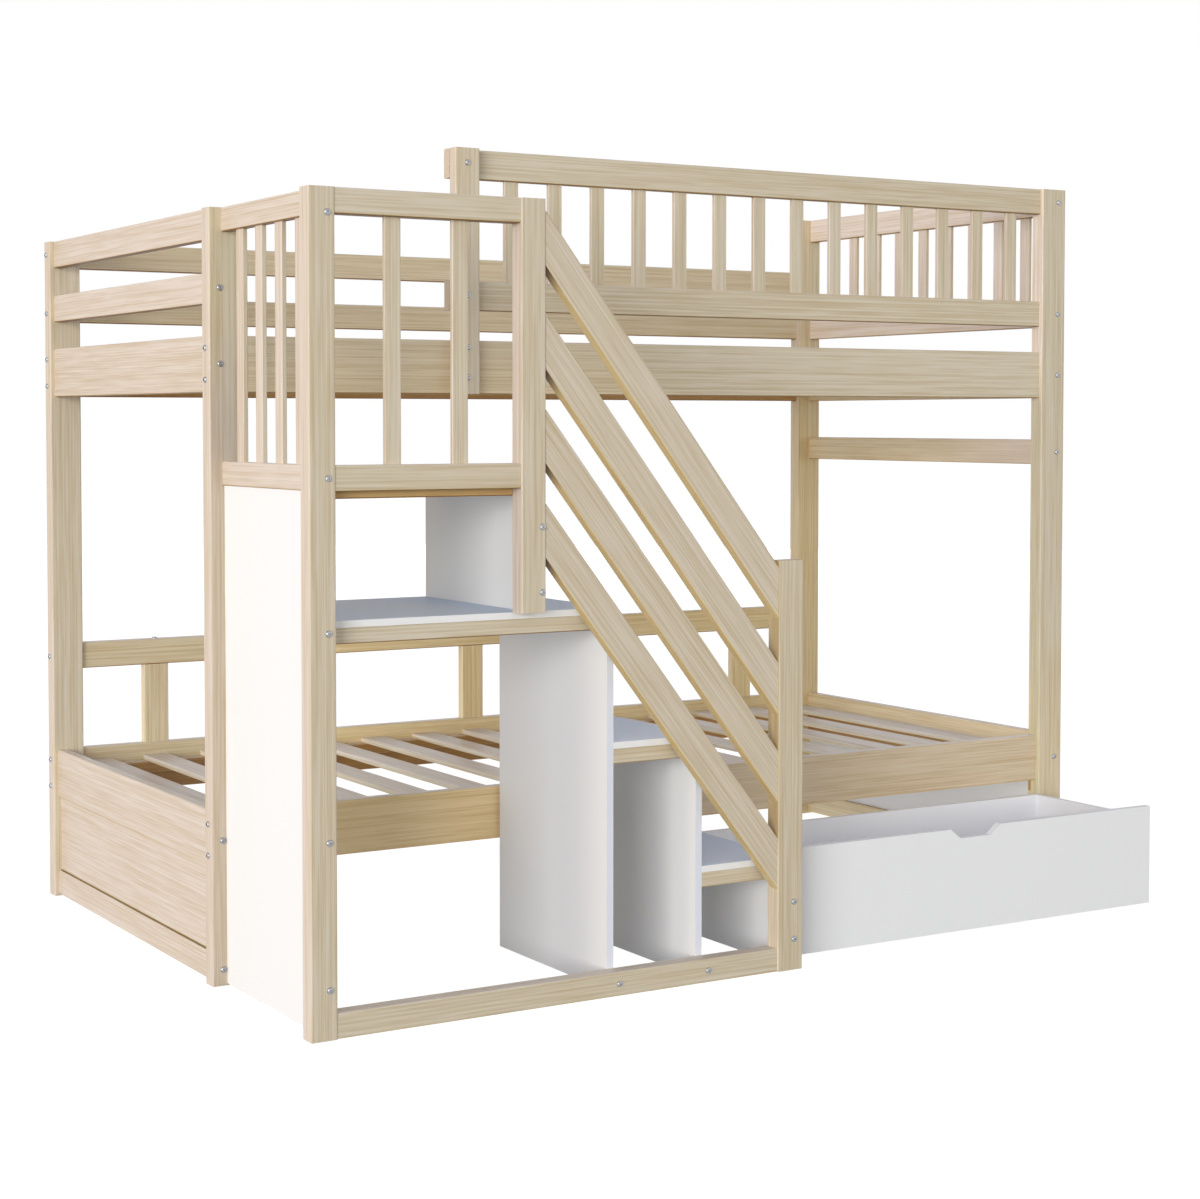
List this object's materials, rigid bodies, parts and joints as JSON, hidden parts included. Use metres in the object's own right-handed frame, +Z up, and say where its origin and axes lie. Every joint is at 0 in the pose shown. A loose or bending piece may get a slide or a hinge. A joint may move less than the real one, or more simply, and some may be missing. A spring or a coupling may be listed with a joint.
{
  "type": "bunk bed with storage stairs",
  "caption": "Wooden bunk bed with slatted bases, guard rails, a boxed side staircase with open cubbies and a rolling drawer under the lower bed.",
  "frame": {"origin": "on the floor, under the middle of the whole bed with its stairs", "axes": "+X along the bed to the right as seen from the stairs, +Y to the back, +Z up"},
  "size_m": [2.086, 1.401, 1.565],
  "materials": {
    "natural_wood": "clear satin lacquer on pale straight-grained wood",
    "white_board": "white melamine-faced board, satin",
    "steel": "bright zinc-plated steel",
    "wheel_plastic": "matte dark plastic"
  },
  "bodies": {
    "bed": {"back_guard_lower_rail": "natural_wood", "back_guard_top_rail": "natural_wood", "back_left_post": "natural_wood", "back_right_post": "natural_wood", "end_bottom_boards": "natural_wood", "end_panels": "natural_wood", "frame_bolts": "steel", "front_guard_balusters": "natural_wood", "front_guard_lower_rail": "natural_wood", "front_guard_top_rail": "natural_wood", "front_left_post": "natural_wood", "front_right_post": "natural_wood", "guard_post": "natural_wood", "landing_front_balusters": "natural_wood", "landing_front_rails": "natural_wood", "landing_platform": "white_board", "landing_riser_panel": "white_board", "landing_side_balusters": "natural_wood", "landing_side_panel": "white_board", "landing_side_rails": "natural_wood", "left_guard_lower_board": "natural_wood", "left_guard_top_board": "natural_wood", "lower_back_guard_rail": "natural_wood", "lower_back_guard_supports": "natural_wood", "lower_back_rail": "natural_wood", "lower_front_rail": "natural_wood", "lower_left_end_rail": "natural_wood", "lower_newel": "natural_wood", "lower_right_end_rail": "natural_wood", "lower_slat_ledgers": "natural_wood", "lower_slats": "natural_wood", "right_cross_rail": "natural_wood", "right_guard_balusters": "natural_wood", "right_guard_lower_rail": "natural_wood", "right_guard_top_rail": "natural_wood", "stair_bolts": "steel", "stair_bottom_rail": "natural_wood", "stair_corner_post": "natural_wood", "stair_handrail": "natural_wood", "stair_infill_boards": "natural_wood", "stair_panels": "white_board", "stair_treads": "white_board", "tread_battens": "natural_wood", "upper_back_rail": "natural_wood", "upper_front_rail": "natural_wood", "upper_left_end_rail": "natural_wood", "upper_newel": "natural_wood", "upper_right_end_rail": "natural_wood", "upper_slat_ledgers": "natural_wood", "upper_slats": "natural_wood"},
    "drawer": {"drawer_back": "white_board", "drawer_bottom": "white_board", "drawer_caster_brackets": "steel", "drawer_front": "white_board", "drawer_sides": "white_board"},
    "back_wheels_body": {"back_wheels": "wheel_plastic"},
    "front_wheels_body": {"front_wheels": "wheel_plastic"}
  },
  "joints": [
    {"name": "drawer_slide", "type": "slide", "parent": "bed", "child": "drawer", "axis": [0, -1, 0], "range_m": [-0.3735, 0.2]},
    {"name": "back_wheels_spin", "type": "hinge", "parent": "drawer", "child": "back_wheels_body", "pos_m": [0.469, -0.3495, 0.0184], "axis": [1, 0, 0], "continuous": true},
    {"name": "front_wheels_spin", "type": "hinge", "parent": "drawer", "child": "front_wheels_body", "pos_m": [0.469, -0.5495, 0.0184], "axis": [1, 0, 0], "continuous": true}
  ],
  "couplings": [
    {"joint": "back_wheels_spin", "follows": "drawer_slide", "rad_per_m": 55.556},
    {"joint": "front_wheels_spin", "follows": "drawer_slide", "rad_per_m": 55.556}
  ]
}
